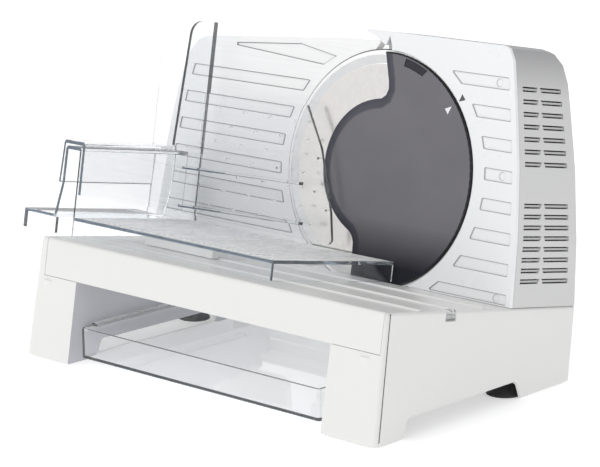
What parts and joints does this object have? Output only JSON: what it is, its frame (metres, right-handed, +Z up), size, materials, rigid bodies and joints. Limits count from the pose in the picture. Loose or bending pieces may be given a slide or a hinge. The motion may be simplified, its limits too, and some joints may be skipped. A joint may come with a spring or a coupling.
{
  "type": "food slicer",
  "caption": "Electric food slicer with a serrated round blade, clear sliding carriage with food holder, thickness stop plate, louvred drive housing and a tray under its leaning deck.",
  "frame": {"origin": "centre of the footprint, at the floor", "axes": "+Z up, +Y from the user into the machine, +X along the carriage's travel, to the user's right"},
  "size_m": [0.3754, 0.236, 0.2425],
  "materials": {
    "white_plastic": "satin white moulded plastic",
    "deck_plastic": "satin white moulded plastic",
    "plate_plastic": "satin cool white",
    "housing_plastic": "fine matt light grey",
    "stop_metal": "fine silver",
    "cover_plastic": "dark grey metallic satin",
    "blade_steel": "polished steel",
    "shaft_steel": "turned",
    "clear_plastic": "clear polished plastic",
    "black_rubber": "matt",
    "black_plastic": "fine matt",
    "nylon": "natural",
    "bronze": "turned bronze",
    "zinc_steel": "zinc plated"
  },
  "bodies": {
    "base": {"base_housing": "white_plastic", "deck_cover": "deck_plastic", "carriage_catch": "clear_plastic", "front_plate": "plate_plastic", "motor_housing": "housing_plastic", "bearing_plate": "housing_plastic", "shaft_bush": "bronze", "motor": "zinc_steel", "motor_bracket": "zinc_steel", "switch_block": "white_plastic", "stop_bracket": "white_plastic", "cable_inlet": "black_rubber", "front_left_foot": "black_rubber", "front_right_foot": "black_rubber", "rear_left_foot": "black_rubber", "rear_right_foot": "black_rubber"},
    "blade_unit": {"blade": "blade_steel", "blade_carrier": "zinc_steel", "blade_shaft": "shaft_steel", "drive_gear": "nylon", "shaft_clip": "shaft_steel"},
    "motor_rotor": {"worm": "shaft_steel", "cooling_fan": "black_plastic"},
    "cover": {"blade_cover": "cover_plastic"},
    "stop": {"stop_plate": "stop_metal", "left_guide_rod": "shaft_steel", "right_guide_rod": "shaft_steel"},
    "knob": {"thickness_knob": "black_plastic"},
    "carriage_body": {"carriage": "clear_plastic", "carriage_guide": "nylon"},
    "holder": {"food_holder": "clear_plastic"},
    "tray": {"collecting_tray": "clear_plastic"},
    "power_button_body": {"power_button": "black_plastic"},
    "lock_button_body": {"lock_button": "black_plastic"}
  },
  "joints": [
    {"name": "blade_spin", "type": "hinge", "parent": "base", "child": "blade_unit", "pos_m": [0.05277, 0.04181, 0.14356], "axis": [0, 0.9861, -0.1664], "continuous": true},
    {"name": "motor_spin", "type": "hinge", "parent": "base", "child": "motor_rotor", "pos_m": [0.05277, 0.0694, 0.09073], "axis": [1, 0, 0], "continuous": true},
    {"name": "cover_turn", "type": "hinge", "parent": "base", "child": "cover", "pos_m": [0.05277, 0.03885, 0.14406], "axis": [0, 0.9861, -0.1664], "range_deg": [0, 12]},
    {"name": "stop_plate_slide", "type": "slide", "parent": "base", "child": "stop", "axis": [0, 0.9861, -0.1664], "range_m": [0, 0.015]},
    {"name": "thickness_knob_turn", "type": "hinge", "parent": "base", "child": "knob", "pos_m": [-0.10623, 0.08112, 0.10011], "axis": [0, 0.9861, -0.1664], "range_deg": [0, 300]},
    {"name": "carriage_slide", "type": "slide", "parent": "base", "child": "carriage_body", "axis": [1, 0, 0], "range_m": [0, 0.15]},
    {"name": "food_holder_slide", "type": "slide", "parent": "carriage_body", "child": "holder", "axis": [0, -0.9861, 0.1664], "range_m": [0, 0.09]},
    {"name": "tray_slide", "type": "slide", "parent": "base", "child": "tray", "axis": [0, -1, 0], "range_m": [0, 0.16]},
    {"name": "power_button_press", "type": "slide", "parent": "base", "child": "power_button_body", "axis": [0, -0.9861, 0.1664], "range_m": [0, 0.0025], "stiffness_N_per_m": 400, "springref_m": -0.003},
    {"name": "lock_button_press", "type": "slide", "parent": "base", "child": "lock_button_body", "axis": [0, -0.9861, 0.1664], "range_m": [0, 0.0018], "stiffness_N_per_m": 400, "springref_m": -0.003}
  ],
  "couplings": [
    {"joint": "motor_spin", "follows": "blade_spin", "ratio": 56},
    {"joint": "thickness_knob_turn", "follows": "stop_plate_slide", "rad_per_m": 348.95}
  ]
}
